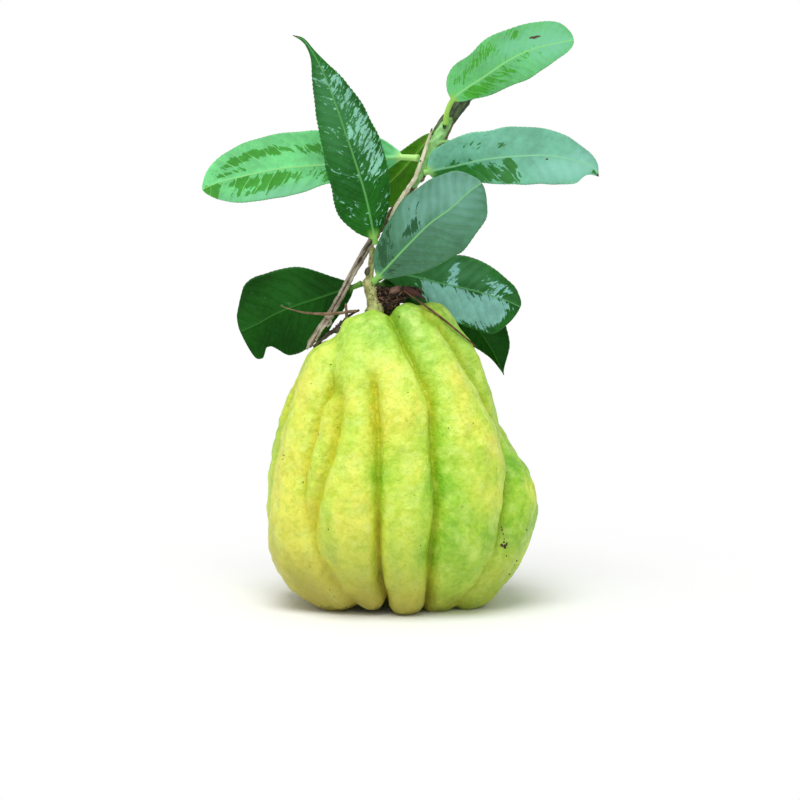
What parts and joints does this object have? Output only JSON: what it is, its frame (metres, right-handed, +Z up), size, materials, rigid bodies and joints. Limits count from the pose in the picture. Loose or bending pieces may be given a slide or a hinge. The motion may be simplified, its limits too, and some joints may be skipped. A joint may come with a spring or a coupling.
{
  "type": "citron fruit with leafy twig",
  "caption": "Closed-hand fingered citron with its stalk, leafy twig and dry plant scraps, as picked; stands upright on the rounded tips of its fingers.",
  "frame": {"origin": "middle of the whole footprint, at the surface the finger tips stand on", "axes": "+Z up along the fruit from finger tips to stalk; the long fingers seen in front face -Y; +X to the viewer's right; Y is the thin direction of the leafy twig"},
  "size_m": [0.163, 0.103, 0.237],
  "materials": {
    "skin": "waxy citrus rind, yellow on the left and the upper fingers, lime green in the creases and on the right, satin, with fine oil pits",
    "stalk_bark": "olive green-brown bark with black dots, satin",
    "twig_bark": "grey-tan dry striated bark below, fresh green above, matt",
    "pale_dry_wood": "pale split dry wood, matt",
    "bud_scale": "dark dry bud scale, matt",
    "leaf_underside": "pale mint-green leaf underside with darker wet patches along the side veins",
    "leaf_pale": "blue-green wet leaf with a pale midrib, satin",
    "leaf_glossy": "dark green waxy leaf with wet streaks, glossy",
    "leaf_olive": "olive-green leaf in shade, satin",
    "dry_litter": "dark brown dry plant litter, matt"
  },
  "bodies": {
    "root": {"fruit": "skin", "fruit_stalk": "stalk_bark", "branch": "twig_bark", "dry_sliver": "pale_dry_wood", "stalk_bud": "bud_scale", "axil_bud": "bud_scale", "leaf_top": "leaf_underside", "leaf_left": "leaf_underside", "leaf_right": "leaf_pale", "leaf_centre": "leaf_pale", "leaf_upright": "leaf_glossy", "leaf_low_left": "leaf_glossy", "leaf_low_right": "leaf_glossy", "leaf_low_back": "leaf_glossy", "leaf_back": "leaf_olive", "dry_scrap": "dry_litter", "dry_needle": "dry_litter", "dry_tendril": "dry_litter", "shoulder_scrap": "dry_litter"}
  },
  "joints": []
}
